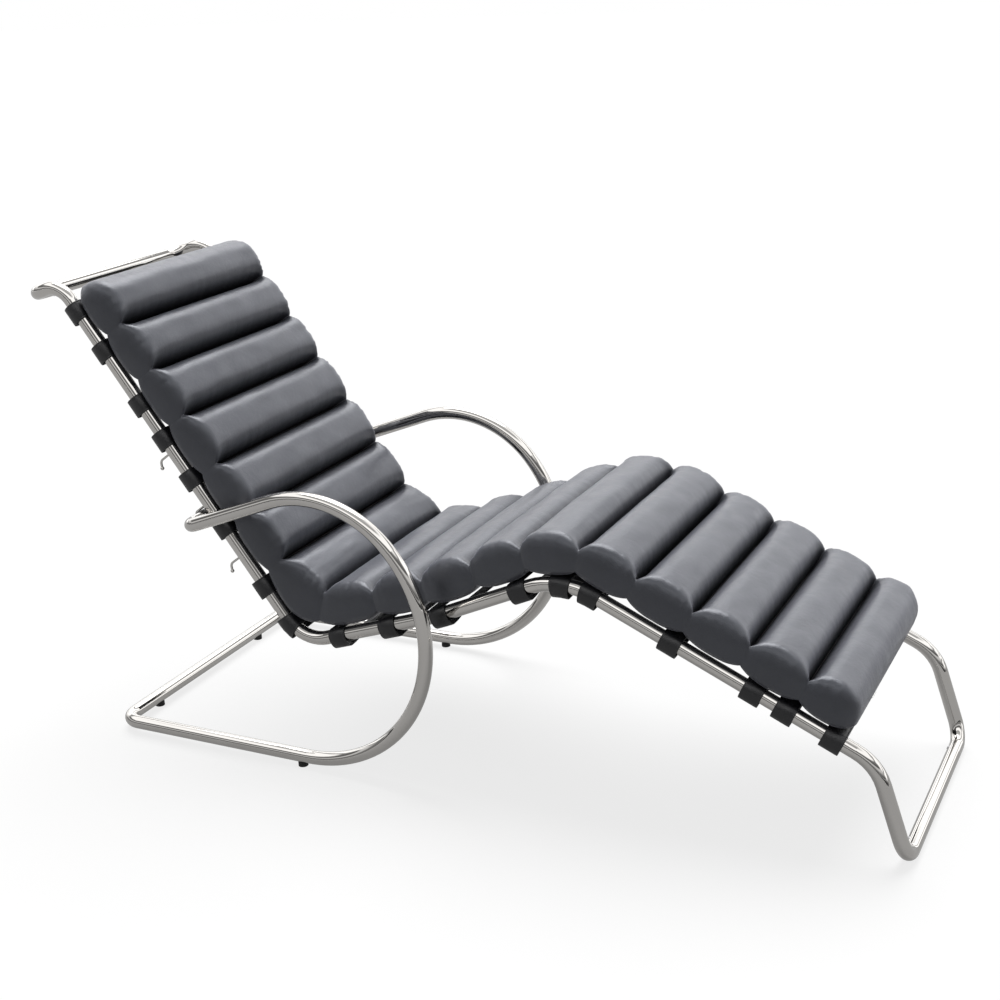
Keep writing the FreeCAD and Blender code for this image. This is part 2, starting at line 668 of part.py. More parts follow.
def belt_loop(body, bend=None, above=True):
    """The belt's closed loop round both rails, square to them; above or below a bend's axis."""
    sketch = new_sketch(body, "YZ_Plane", f"{body.Label}_loop")
    level = 0.0 if bend is None else size(bend) * (1 if above else -1)
    normal = Vector(0, 0, 1)
    quarter = math.pi / 2
    for radius, name, formula in (
            (STRAP_OUTER_R, "outer",
             "sizes.tube_diameter / 2 + sizes.strap_clearance + sizes.strap_thickness"),
            (STRAP_INNER_R, "inner", "sizes.tube_diameter / 2 + sizes.strap_clearance")):
        left, right = Vector(-RAIL_Y, level, 0), Vector(RAIL_Y, level, 0)
        lift = Vector(0, radius, 0)
        first = sketch.addGeometry(
            Part.ArcOfCircle(Part.Circle(left, normal, radius), quarter, 3 * quarter), False)
        sketch.addGeometry(Part.LineSegment(left - lift, right - lift), False)
        sketch.addGeometry(
            Part.ArcOfCircle(Part.Circle(right, normal, radius), -quarter, quarter), False)
        sketch.addGeometry(Part.LineSegment(right + lift, left + lift), False)
        for step in range(4):
            sketch.addConstraint(Sketcher.Constraint(
                "Tangent", first + step, 2, first + (step + 1) % 4, 1))
        turn = sketch.addConstraint(Sketcher.Constraint("Radius", first, radius))
        sketch.renameConstraint(turn, f"{name}_turn")
        sketch.setExpression(f"Constraints.{name}_turn", formula)
        span = sketch.addConstraint(
            Sketcher.Constraint("DistanceX", first, 3, first + 2, 3, 2 * RAIL_Y))
        sketch.renameConstraint(span, f"{name}_span")
        sketch.setExpression(f"Constraints.{name}_span", "sizes.seat_rail_spacing")
        if bend is None:
            sketch.addConstraint(Sketcher.Constraint("Symmetric", first, 3, first + 2, 3, -1, 1))
            sketch.addConstraint(Sketcher.Constraint("Horizontal", first + 1))
            sketch.addConstraint(Sketcher.Constraint("Horizontal", first + 3))
        else:
            sketch.addConstraint(Sketcher.Constraint("Symmetric", first, 3, first + 2, 3, -2))
            ends = (-1, 1, first, 3) if above else (first, 3, -1, 1)
            reach = sketch.addConstraint(Sketcher.Constraint("DistanceY", *ends, size(bend)))
            sketch.renameConstraint(reach, f"{name}_reach")
            sketch.setExpression(f"Constraints.{name}_reach", f"sizes.{bend}")
    return sketch


def belt(label, point, upward):
    """A belt round both rails; returns where its buckle goes and how far that hangs clear."""
    edge, place, along, normal = nearest_on_rails(point, upward)
    bend = tight_bend(edge)
    body = new_body(label)
    hollow = 0.0
    if bend is None:
        add_pad(body, belt_loop(body), "sizes.strap_width")
        origin = place
    else:
        origin = Vector(edge.Curve.Center.x, 0, edge.Curve.Center.z)
        above = (place - origin).dot(normal) > 0
        if above:
            underside = size(bend) - STRAP_OUTER_R
            hollow = underside - math.sqrt(underside**2 - (size("strap_width") / 2) ** 2)
        sketch = belt_loop(body, bend, above)
        turn = body.newObject("PartDesign::Revolution", f"{label}_turn")
        turn.Profile = sketch
        turn.ReferenceAxis = (sketch, ["H_Axis"])
        turn.Midplane = True
        turn.setExpression("Angle", f"sizes.strap_width / sizes.{bend} * 180 / pi * 1 deg")
        sketch.Visibility = False
    body.Placement = FreeCAD.Placement(origin, FreeCAD.Rotation(along, ACROSS, normal, "XZY"))
    node(body)
    return place, along, normal, hollow


FRONT_OF_BACK = -BEHIND_BACK
ABOVE_SEAT = heading(size("seat_angle") + 90)
ABOVE_THIGH = heading(size("thigh_angle") + 90)
ABOVE_LEG = heading(90 - size("leg_angle"))


def between(first, last, shares):
    return [first + (last - first) * share for share in shares]


def bend_tangent(bend, turned):
    """How far along its runs a bend reaches from its corner point."""
    return size(bend) * math.tan(math.radians(turned / 2))


MIDDLE_ROOT = size("hook_station") + ROOT_ABOVE_BAR
corner_tangent = bend_tangent("seat_corner_bend", size("back_angle") + size("seat_angle"))
knee_tangent = bend_tangent("knee_bend", size("thigh_angle") + size("leg_angle"))
back_stations = between(CUSHION_HEAD - size("end_belt_inset_head"),
                        MIDDLE_ROOT + size("hook_pitch") + size("belt_above_hooks"), UPPER_BACK_BELTS)
back_stations += [MIDDLE_ROOT + size("belt_beside_hook"), MIDDLE_ROOT - size("belt_beside_hook"),
                  MIDDLE_ROOT - size("hook_pitch") - size("belt_below_hooks"),
                  corner_tangent - size("seat_corner_belt_inset")]
leg_stations = between(knee_tangent - size("knee_belt_inset"),
                       CUSHION_FOOT - size("end_belt_inset_foot"), LEG_BELTS)
thigh_station = size("thigh_length") - knee_tangent - size("strap_width") / 2
belt_spots = [(f"back_belt_{index}", corner + UP_BACK * station, FRONT_OF_BACK)
              for index, station in enumerate(back_stations, start=1)]
belt_spots += [(f"seat_belt_{index}", corner + (sag - corner) * share, ABOVE_SEAT)
               for index, share in enumerate(SEAT_BELTS, start=1)]
belt_spots.append((f"seat_belt_{len(SEAT_BELTS) + 1}",
                   sag + heading(size("thigh_angle")) * thigh_station, ABOVE_THIGH))
belt_spots.append(("knee_belt", knee, (ABOVE_THIGH + ABOVE_LEG).normalize()))
belt_spots += [(f"leg_belt_{index}", knee + ALONG_LEG * station, ABOVE_LEG)
               for index, station in enumerate(leg_stations, start=1)]
belt_places = [belt(*spot) for spot in belt_spots]


# Buckles lie on the belts' undersides, near the middle
BUCKLE_BEND = size("buckle_wire") * 1.1
PRONG_R = size("buckle_wire") * 0.4


def buckle(place, along, normal, hollow):
    """A rounded rectangular ring and the prong across it."""
    wire_r = size("buckle_wire") / 2
    half_across = size("buckle_width") / 2 - wire_r
    half_long = size("buckle_length") / 2 - wire_r
    level = STRAP_OUTER_R + hollow + size("buckle_play") + wire_r

    def spot(across_belt, along_belt):
        return place + along * across_belt + ACROSS * along_belt - normal * level

    corners = [spot(half_across, half_long), spot(-half_across, half_long),
               spot(-half_across, -half_long), spot(half_across, -half_long)]
    start = (corners[3] + corners[0]) * 0.5
    edges = []
    previous = start
    for number in range(4):
        before = corners[number - 1]
        after = corners[(number + 1) % 4]
        entry, middle, leave = bend_points(before, corners[number], after, BUCKLE_BEND)
        edges += [Part.LineSegment(previous, entry).toShape(),
                  Part.Arc(entry, middle, leave).toShape()]
        previous = leave
    edges.append(Part.LineSegment(previous, start).toShape())
    ring_path = Part.Wire(edges)
    first = ring_path.OrderedEdges[0]
    profile = Part.Wire(Part.Circle(start, first.tangentAt(first.FirstParameter), wire_r).toShape())
    ring = ring_path.makePipeShell([profile], True, False)
    prong_start = spot(0, -half_long)
    prong = straight_rod(prong_start, ACROSS, PRONG_R, 2 * half_long + PRONG_R)
    return ring.fuse(prong)


buckles = [buckle(*belt_place) for belt_place in belt_places]
node(check_in("belt_buckles", Part.makeCompound(buckles)))


# Cushion: channel lines are the seat frame's line offset upwards
def offset_corners(distance):
    """The corner points of the line that runs this far above the rails."""
    head = corner + UP_BACK * CUSHION_HEAD
    end = knee + ALONG_LEG * CUSHION_FOOT
    line = [head, corner, sag, knee, end]
    ups = [FRONT_OF_BACK, ABOVE_SEAT, ABOVE_THIGH, ABOVE_LEG]
    moved = [head + ups[0] * distance]
    for index in (1, 2, 3):
        bisector = (ups[index - 1] + ups[index]).normalize()
        moved.append(line[index] + bisector * (distance / bisector.dot(ups[index])))
    moved.append(end + ups[3] * distance)
    return moved


SEAM_UP = size("seam_height")
SEAM_DOWN = size("seam_underside")
REST_UP = STRAP_OUTER_R + size("cushion_clearance")
channel_line = rounded_path(offset_corners(SEAM_UP), [
    size("lap_bend"), size("sag_bend") - SEAM_UP, size("knee_bend") + SEAM_UP])
under_line = rounded_path(offset_corners(SEAM_DOWN), [
    size("lap_underside_bend"), size("sag_bend") - SEAM_DOWN, size("knee_bend") + SEAM_DOWN])
rest_line = rounded_path(offset_corners(REST_UP), [
    size("lap_underside_bend"), size("sag_bend") - REST_UP, size("knee_bend") + REST_UP])
ROLLS = int(size("roll_count"))
ROLL_PITCH = (channel_line.Length - 2 * size("end_roll_width")) / (ROLLS - 2)


def station_on(wire, distance):
    """Point and upward normal at a distance along a line."""
    left = min(distance, wire.Length - 1e-6)
    for edge in wire.OrderedEdges:
        if left <= edge.Length:
            parameter = edge.getParameterByLength(left)
            return edge.valueAt(parameter), edge.tangentAt(parameter).cross(ACROSS)
        left -= edge.Length
    raise ValueError("a station lies past the end of its line")


def dropped_to(wire, point, upward):
    """Where a line square to the channel line meets a lower line."""
    ray = Part.LineSegment(point, point - upward * 2 * SEAM_UP).toShape()
    return wire.distToShape(ray)[1][0][0]


class Seam:
    """One channel, or one end of the cushion: its top and underside points."""

    def __init__(self, distance):
        self.high, upward = station_on(channel_line, distance)
        self.low = dropped_to(under_line, self.high, upward)


ARC_STEPS = 25
SETTLED = 1e-3


def settled(before, low, after, upward):
    """A roll's lowest point, raised until its underside clears every belt."""
    sunk = 1.0
    while sunk > SETTLED:
        arc = Part.Arc(before.low, low, after.low).toShape()
        sunk = max(REST_UP - seat_line.distToShape(Part.Vertex(point))[0]
                   for point in arc.discretize(ARC_STEPS))
        low = low + upward * max(sunk, 0.0)
    return low


class Roll:
    """One filled roll between two seams."""

    def __init__(self, before, after, distance):
        self.before = before
        self.after = after
        level, upward = station_on(channel_line, distance)
        self.high = level + upward * size("roll_rise")
        self.low = settled(before, dropped_to(rest_line, level, upward), after, upward)
        self.upward = upward


seam_places = [0.0] + [size("end_roll_width") + ROLL_PITCH * step for step in range(ROLLS - 1)]
seam_places.append(channel_line.Length)
seams = [Seam(distance) for distance in seam_places]
rolls = [Roll(seams[index], seams[index + 1], (seam_places[index] + seam_places[index + 1]) / 2)
         for index in range(ROLLS)]
END_BULGE = 7.0


def towards(core, point, share):
    return core + (point - core) * share


def at_depth(point, y):
    return Vector(point.x, y, point.z)


def middle_of(seam):
    return (seam.high + seam.low) * 0.5


def cushion_section(y, share, extra):
    """The cushion's outline at one place across the chair, thinned towards its seam."""
    edges = []
    for roll in rolls:
        core = (roll.high + roll.low) * 0.5
        points = [towards(middle_of(roll.before), roll.before.high, share),
                  towards(core, roll.high + roll.upward * extra, share),
                  towards(middle_of(roll.after), roll.after.high, share)]
        edges.append(Part.Arc(*[at_depth(point, y) for point in points]).toShape())
    for seam, outward in ((seams[-1], ALONG_LEG), (seams[0], UP_BACK)):
        ends = [towards(middle_of(seam), seam.high, share),
                towards(middle_of(seam), seam.low, share)]
        if seam is seams[0]:
            ends.reverse()
        bulge = middle_of(seam) + outward * (END_BULGE * share)
        end_arc = Part.Arc(*[at_depth(point, y) for point in (ends[0], bulge, ends[1])]).toShape()
        if seam is seams[0]:
            last_edge = end_arc
        else:
            edges.append(end_arc)
    for roll in reversed(rolls):
        core = (roll.high + roll.low) * 0.5
        points = [towards(middle_of(roll.after), roll.after.low, share),
                  towards(core, roll.low, share),
                  towards(middle_of(roll.before), roll.before.low, share)]
        edges.append(Part.Arc(*[at_depth(point, y) for point in points]).toShape())
    edges.append(last_edge)
    return Part.Wire(edges)


def mirrored(steps, half_width, middle_extra):
    """Sections from one side to the other: place across, thickness share, extra rise."""
    one_side = [(half_width - inset, share, 0.0) for inset, share in steps]
    return ([(-y, share, extra) for y, share, extra in one_side] + [(0.0, 1.0, middle_extra)]
            + one_side[::-1])


COVER_STEPS = [(0.0, 0.2), (5.0, 0.5), (15.0, 0.78), (30.0, 0.95), (52.0, 1.0)]
FILL_STEPS = [(11.0, 0.42), (21.0, 0.74), (38.0, 0.93), (60.0, 1.0)]

cover_outside = Part.makeLoft(
    [cushion_section(*section)
     for section in mirrored(COVER_STEPS, HALF_WIDTH, size("roll_crown"))],
    True, True)


def fill_section(roll, y, share, extra):
    """A roll's filling, inside the leather and clear of the channels."""
    web = size("channel_web")
    skin = size("cover_thickness")
    core = (roll.high + roll.low) * 0.5
    ahead = (middle_of(roll.after) - middle_of(roll.before)).normalize()
    corners = [roll.before.high + ahead * web, roll.after.high - ahead * web,
               roll.after.low - ahead * web, roll.before.low + ahead * web]
    middles = [middle_of(roll.before) + ahead * web, middle_of(roll.after) - ahead * web]
    high_left, high_right, low_right, low_left = [
        at_depth(towards(middles[index], point, share), y)
        for index, point in zip((0, 1, 1, 0), corners)]
    high = at_depth(towards(core, roll.high + roll.upward * (extra - skin), share), y)
    low = at_depth(towards(core, roll.low + roll.upward * skin, share), y)
    return Part.Wire([
        Part.Arc(high_left, high, high_right).toShape(),
        Part.LineSegment(high_right, low_right).toShape(),
        Part.Arc(low_right, low, low_left).toShape(),
        Part.LineSegment(low_left, high_left).toShape(),
    ])


fills = [Part.makeLoft([fill_section(roll, *section)
                        for section in mirrored(FILL_STEPS, HALF_WIDTH, size("roll_crown"))],
                       True, True)
         for roll in rolls]
cover = cover_outside.cut(fills)
node(check_in("cushion_cover", cover))
node(check_in("cushion_filling", Part.makeCompound(fills)))

# Checks before anything is written
doc.recompute()
for item in doc.Objects:
    if "Invalid" in item.State or "Error" in item.State:
        raise RuntimeError(f"{item.Label} failed: {item.State}")
for piece in NODES:
    shape = piece.Shape
    if shape.isNull() or not shape.isValid() or not shape.Solids:
        raise RuntimeError(f"{piece.Label} has no valid solid")
if len({piece.Label for piece in NODES}) != len(NODES):
    raise RuntimeError("two pieces share a label")

os.makedirs("parts", exist_ok=True)
for piece in NODES:
    piece.Shape.exportStep(f"parts/{piece.Label}.step")
print(f"{len(NODES)} nodes, {sum(len(piece.Shape.Solids) for piece in NODES)} solids")
print(f"upper bar at X {bar.x:.2f}, Z {bar.z:.2f}; roll pitch {ROLL_PITCH:.1f}")
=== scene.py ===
"""Looks of the cantilever lounge chair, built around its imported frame. Metres, +X to the
feet, +Y to the sitter's left, +Z up; every size here is the frame's own."""
import json
import math

import bpy
import numpy as np
from mathutils import Matrix, Vector, noise


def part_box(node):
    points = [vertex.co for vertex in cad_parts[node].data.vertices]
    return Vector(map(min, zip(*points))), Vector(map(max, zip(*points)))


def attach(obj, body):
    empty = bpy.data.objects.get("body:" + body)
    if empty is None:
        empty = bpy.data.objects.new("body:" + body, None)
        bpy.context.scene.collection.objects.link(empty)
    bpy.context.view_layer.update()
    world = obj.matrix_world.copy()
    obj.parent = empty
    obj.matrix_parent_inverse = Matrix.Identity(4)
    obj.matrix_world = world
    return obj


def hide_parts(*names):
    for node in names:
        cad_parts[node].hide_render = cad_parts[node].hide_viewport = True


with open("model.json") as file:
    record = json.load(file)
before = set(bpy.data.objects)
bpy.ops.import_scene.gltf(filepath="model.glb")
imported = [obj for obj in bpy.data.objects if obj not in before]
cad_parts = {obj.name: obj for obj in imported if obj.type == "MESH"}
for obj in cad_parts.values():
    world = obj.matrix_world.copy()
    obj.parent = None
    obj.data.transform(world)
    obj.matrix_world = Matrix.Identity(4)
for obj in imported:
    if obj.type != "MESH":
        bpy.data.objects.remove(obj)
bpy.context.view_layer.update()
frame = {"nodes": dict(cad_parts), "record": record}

# Side tubes of the seat frame: the corner between back and seat in the middle plane, each
# run's heading in degrees and its length, the bends' radii, and the tubes' place across
CORNER = np.array([-0.3076873, 0.241])
BACK_HEADING = 125.9
SEAT_HEADING = 18.2
THIGH_HEADING = 23.8
LEG_HEADING = -24.7
BACK_LENGTH = 0.866
SEAT_LENGTH = 0.318
THIGH_LENGTH = 0.290
LEG_LENGTH = 0.638
CORNER_BEND = 0.080
SAG_BEND = 0.580
KNEE_BEND = 0.160
RAIL_Y = 0.246

# Belts: how far their two faces stand from the tube's middle, and their width
STRAP_INNER = 0.0145
STRAP_OUTER = 0.0167
STRAP_WIDTH = 0.038

# Cushion: its reach up the back and down the leg, its width, and its rolls
CUSHION_BACK = 0.835
CUSHION_LEG = 0.572
HALF_WIDTH = 0.262
ROLLS = 17
END_ROLL = 0.100
ROLL_RISE = 0.031
ROLL_CROWN = 0.003

# Heights above the tube's middle: the line of the channel seams, the under side between two
# rolls, and where a roll rests; then the corner bends of the first line and of the others
SEAM_UP = 0.068
SEAM_DOWN = 0.032
REST_UP = 0.0172
SEAM_UP_BEND = 0.165
UNDER_BEND = 0.100


# Lines in the middle plane: how closely they are drawn, and how they are searched
LINE_STEP = 0.0005
LEAST_ARC_STEPS = 8
SPOTS_AT_ONCE = 2000
POINT_STRIDE = 4
NEARER_WEIGHT = 0.05


def heading(degrees):
    angle = math.radians(degrees)
    return np.array([math.cos(angle), math.sin(angle)])


UP_BACK = heading(BACK_HEADING)
SEAT_WAY = heading(SEAT_HEADING)
THIGH_WAY = heading(THIGH_HEADING)
LEG_WAY = heading(LEG_HEADING)
SAG = CORNER + SEAT_WAY * SEAT_LENGTH
KNEE = SAG + THIGH_WAY * THIGH_LENGTH
ANKLE = KNEE + LEG_WAY * LEG_LENGTH
CURL = CORNER + UP_BACK * BACK_LENGTH
CUSHION_HEAD = CORNER + UP_BACK * CUSHION_BACK
CUSHION_FOOT = KNEE + LEG_WAY * CUSHION_LEG


class Line:
    """Straight runs joined by tangent arcs, read by distance from its first point."""

    def __init__(self, points, radii):
        run = [points[0]]
        for index, radius in enumerate(radii, start=1):
            vertex = points[index]
            back = points[index - 1] - vertex
            ahead = points[index + 1] - vertex
            back = back / np.linalg.norm(back)
            ahead = ahead / np.linalg.norm(ahead)
            half = math.acos(float(np.clip(back @ ahead, -1, 1))) / 2
            bisector = (back + ahead) / np.linalg.norm(back + ahead)
            tangent = radius / math.tan(half)
            centre = vertex + bisector * radius / math.sin(half)
            start = vertex + back * tangent - centre
            turn = math.pi - 2 * half
            if back[0] * ahead[1] - back[1] * ahead[0] > 0:
                turn = -turn
            steps = max(LEAST_ARC_STEPS, int(abs(turn) * radius / LINE_STEP))
            for angle in np.linspace(0, turn, steps):
                c, s = math.cos(angle), math.sin(angle)
                run.append(centre + np.array([c * start[0] - s * start[1],
                                              s * start[0] + c * start[1]]))
        run.append(points[-1])
        run = np.array(run)
        lengths = np.r_[0, np.cumsum(np.linalg.norm(np.diff(run, axis=0), axis=1))]
        self.length = lengths[-1]
        self.places = np.linspace(0, self.length, int(self.length / LINE_STEP))
        self.points = np.stack([np.interp(self.places, lengths, run[:, k]) for k in (0, 1)], 1)
        way = np.gradient(self.points, self.places, axis=0)
        self.ways = way / np.linalg.norm(way, axis=1)[:, None]
        self.ups = np.stack([-self.ways[:, 1], self.ways[:, 0]], 1)

    def at(self, places, what="points"):
        """The line's points, ways or ups at these distances."""
        values = getattr(self, what)
        return np.stack([np.interp(places, self.places, values[:, k]) for k in (0, 1)], -1)

    def nearest(self, spots):
        """Index of the line's point nearest to each spot."""
        found = []
        for start in range(0, len(spots), SPOTS_AT_ONCE):
            some = spots[start:start + SPOTS_AT_ONCE, None, :]
            gap = some - self.points[None, ::POINT_STRIDE, :]
            found.append(np.argmin((gap**2).sum(-1), axis=1) * POINT_STRIDE)
        return np.concatenate(found)


def offset_line(distance, corner_bend):
    """The line that runs this far above the tubes, from the cushion's head to its foot."""
    corners = [CUSHION_HEAD, CORNER, SAG, KNEE, CUSHION_FOOT]
    ways = [-UP_BACK, SEAT_WAY, THIGH_WAY, LEG_WAY]
    ups = [np.array([-way[1], way[0]]) for way in ways]
    moved = [CUSHION_HEAD + ups[0] * distance]
    for index in (1, 2, 3):
        bisector = ups[index - 1] + ups[index]
        bisector = bisector / np.linalg.norm(bisector)
        moved.append(corners[index] + bisector * distance / (bisector @ ups[index]))
    moved.append(CUSHION_FOOT + ups[3] * distance)
    return Line(moved, [corner_bend, SAG_BEND - distance, KNEE_BEND + distance])


rail_line = Line([CURL, CORNER, SAG, KNEE, ANKLE], [CORNER_BEND, SAG_BEND, KNEE_BEND])
channel_line = offset_line(SEAM_UP, SEAM_UP_BEND)
under_line = offset_line(SEAM_DOWN, UNDER_BEND)
rest_line = offset_line(REST_UP, UNDER_BEND)


def drops(line, places):
    """How far below the channel line another line runs at each place, read at the point that
    is most nearly square to it, and at the nearer one where two are."""
    tops = channel_line.at(places)
    ups = channel_line.at(places, "ups")
    ways = channel_line.at(places, "ways")
    result = []
    for top, up, way in zip(tops, ups, ways):
        gap = line.points - top
        aside = np.abs(gap @ way) + NEARER_WEIGHT * np.abs(gap @ up)
        result.append(-(gap[np.argmin(aside)] @ up))
    return np.array(result)


# Shader nodes
MIX_FIRST, MIX_SECOND, MIX_RESULT = 6, 7, 2


def new_material(name):
    material = bpy.data.materials.new(name)
    material.use_nodes = True
    nodes = material.node_tree.nodes
    return material, nodes, material.node_tree.links, nodes["Principled BSDF"]


def add(nodes, kind, **settings):
    """A new node, with settings for its sockets and its own properties."""
    made = nodes.new(kind)
    for name, value in settings.items():
        if name in made.inputs:
            made.inputs[name].default_value = value
        else:
            setattr(made, name, value)
    return made


def feed(links, socket, value):
    """Link a socket's source to it, or set it where the value is a number or colour."""
    if isinstance(value, (int, float, tuple)):
        socket.default_value = value
    else:
        links.new(value, socket)


def combine(nodes, links, kind, *values, **settings):
    """A new node's first output, with its sockets fed in their order."""
    made = add(nodes, kind, **settings)
    for socket, value in zip(made.inputs, values):
        feed(links, socket, value)
    return made.outputs[0]


def mixed_colour(nodes, links, factor, first, second):
    """From the first colour to the second, each a socket or a fixed colour."""
    made = add(nodes, "ShaderNodeMix", data_type="RGBA")
    feed(links, made.inputs["Factor"], factor)
    feed(links, made.inputs[MIX_FIRST], first)
    feed(links, made.inputs[MIX_SECOND], second)
    return made.outputs[MIX_RESULT]


def ramp(nodes, links, source, stops):
    """Colours or grey levels by where the source stands between the stops."""
    made = nodes.new("ShaderNodeValToRGB")
    elements = made.color_ramp.elements
    while len(elements) < len(stops):
        elements.new(0.5)
    for element, (place, value) in zip(elements, stops):
        element.position = place
        element.color = (*value, 1) if isinstance(value, tuple) else (value, value, value, 1)
    links.new(source, made.inputs["Fac"])
    return made.outputs["Color"]


def band(nodes, links, source, low, high, start=0.3, end=0.7):
    """Colours or grey levels over the band in which most of a noise lies."""
    return ramp(nodes, links, source, [(start, low), (end, high)])


def remap(nodes, links, source, start=(0.0, 1.0), end=(0.0, 1.0), easing="LINEAR"):
    """The source moved from one range to another."""
    return combine(nodes, links, "ShaderNodeMapRange", source, *start, *end,
                   interpolation_type=easing)


def placed_noise(nodes, links, space, scale, detail=3.0, rough=0.55, stretch=None):
    """Noise in the piece's own metres."""
    source = space
    if stretch:
        mapping = add(nodes, "ShaderNodeMapping", Scale=stretch)
        links.new(space, mapping.inputs["Vector"])
        source = mapping.outputs["Vector"]
    made = add(nodes, "ShaderNodeTexNoise", Scale=scale, Detail=detail, Roughness=rough)
    links.new(source, made.inputs["Vector"])
    return made.outputs["Fac"]


def chain_bumps(nodes, links, bsdf, layers):
    """Bumps one on top of the other: height output, strength and depth in metres."""
    last = None
    for height, strength, depth in layers:
        bump = add(nodes, "ShaderNodeBump", Strength=strength, Distance=depth)
        links.new(height, bump.inputs["Height"])
        if last:
            links.new(last, bump.inputs["Normal"])
        last = bump.outputs["Normal"]
    links.new(last, bsdf.inputs["Normal"])


# Materials. Noise scales are per metre, and a bump is its strength and its depth in metres
LEATHER_CLOUDS = 9.0
LEATHER_GLOSS, LEATHER_GLOSS_SPREAD = 38.0, 0.06
LEATHER_DENTS, DENT_BUMP = 14.0, (0.25, 0.003)
GRAIN_STOPS, GRAIN_BUMP = [(0.0, 1.0), (0.55, 0.75), (1.0, 0.0)], (0.35, 0.00025)
FINE_CREASE_STOPS, FINE_CREASE_BUMP = [(0.38, 0.0), (0.5, 1.0), (0.62, 0.0)], (0.12, 0.0008)
METAL_SMEARS, METAL_TINT = 30.0, 6.0
METAL_BUMP_DEPTH = 0.0002
DULL_SHARE = 0.94
PLAIN_GLOSS_SPREAD = 0.05
PLAIN_BUMP = 0.4

# The cushion's leather: painted shade in a crease, as a near-black colour and little gloss; then
# its open gloss, sheen and cool shine
PAINTED_CREASE_SHADE_COLOUR = (0.003, 0.003, 0.004, 1.0)
PAINTED_CREASE_SHADE_GLOSS = 0.04
CUSHION_GLOSS = 0.72
CUSHION_SHEEN = 0.5
CUSHION_SHINE = {
    "Specular Tint": (0.90, 0.93, 1.0, 1.0),
    "Sheen Roughness": 0.5,
    "Sheen Tint": (0.86, 0.88, 1.0, 1.0),
}


def leather(name, dark, light, rough, cell, crease):
    """Grained leather: cells, fine creases, uneven colour and gloss."""
    material, nodes, links, bsdf = new_material(name)
    space = nodes.new("ShaderNodeTexCoord").outputs["Object"]
    cells = add(nodes, "ShaderNodeTexVoronoi", Scale=cell, feature="F1")
    links.new(space, cells.inputs["Vector"])
    grain = ramp(nodes, links, cells.outputs["Distance"], GRAIN_STOPS)
    creases = placed_noise(nodes, links, space, crease, detail=6.0, rough=0.62)
    lines = ramp(nodes, links, creases, FINE_CREASE_STOPS)
    cloud = placed_noise(nodes, links, space, LEATHER_CLOUDS, detail=4.0)
    links.new(band(nodes, links, cloud, dark, light), bsdf.inputs["Base Color"])
    gloss = placed_noise(nodes, links, space, LEATHER_GLOSS, detail=4.0)
    links.new(band(nodes, links, gloss, rough - LEATHER_GLOSS_SPREAD, rough + LEATHER_GLOSS_SPREAD),
              bsdf.inputs["Roughness"])
    dents = placed_noise(nodes, links, space, LEATHER_DENTS)
    chain_bumps(nodes, links, bsdf,
                [(grain, *GRAIN_BUMP), (lines, *FINE_CREASE_BUMP), (dents, *DENT_BUMP)])
    return material


def metal(name, colour, low, high, bump, streak=None):
    """Metal with a gloss that wanders, as plating and polishing leave it."""
    material, nodes, links, bsdf = new_material(name)
    bsdf.inputs["Metallic"].default_value = 1.0
    space = nodes.new("ShaderNodeTexCoord").outputs["Object"]
    smears = placed_noise(nodes, links, space, METAL_SMEARS, detail=4.0, rough=0.6, stretch=streak)
    links.new(band(nodes, links, smears, low, high, end=0.75), bsdf.inputs["Roughness"])
    tint = placed_noise(nodes, links, space, METAL_TINT, detail=2.0)
    dull = tuple(channel * DULL_SHARE for channel in colour)
    links.new(band(nodes, links, tint, colour, dull), bsdf.inputs["Base Color"])
    chain_bumps(nodes, links, bsdf, [(smears, bump, METAL_BUMP_DEPTH)])
    return material


def plain(name, dark, light, rough, scale, depth):
    """Moulded rubber, plastic or foam with a fine texture."""
    material, nodes, links, bsdf = new_material(name)
    space = nodes.new("ShaderNodeTexCoord").outputs["Object"]
    speckle = placed_noise(nodes, links, space, scale, detail=5.0, rough=0.65)
    links.new(band(nodes, links, speckle, dark, light, start=0.35, end=0.65),
              bsdf.inputs["Base Color"])
    links.new(band(nodes, links, speckle, rough - PLAIN_GLOSS_SPREAD, rough + PLAIN_GLOSS_SPREAD),
              bsdf.inputs["Roughness"])
    chain_bumps(nodes, links, bsdf, [(speckle, PLAIN_BUMP, depth)])
    return material


def shine_and_paint_crease_shade(material):
    """A cool shine, and shade painted into the creases by the mesh's own crease values: darker
    colour, less gloss and sheen.
    """
    nodes, links = material.node_tree.nodes, material.node_tree.links
    sockets = nodes["Principled BSDF"].inputs
    for name, value in CUSHION_SHINE.items():
        sockets[name].default_value = value
    # The mesh's crease values mark painted shade: towards 1 the leather is painted near black, with
    # little gloss and no sheen
    depth = add(nodes, "ShaderNodeAttribute", attribute_name="crease").outputs["Fac"]
    colour = sockets["Base Color"].links[0].from_socket
    links.new(mixed_colour(nodes, links, depth, colour, PAINTED_CREASE_SHADE_COLOUR), sockets["Base Color"])
    links.new(remap(nodes, links, depth, end=(CUSHION_GLOSS, PAINTED_CREASE_SHADE_GLOSS)),
              sockets["Specular IOR Level"])
    links.new(remap(nodes, links, depth, end=(CUSHION_SHEEN, 0.0)), sockets["Sheen Weight"])


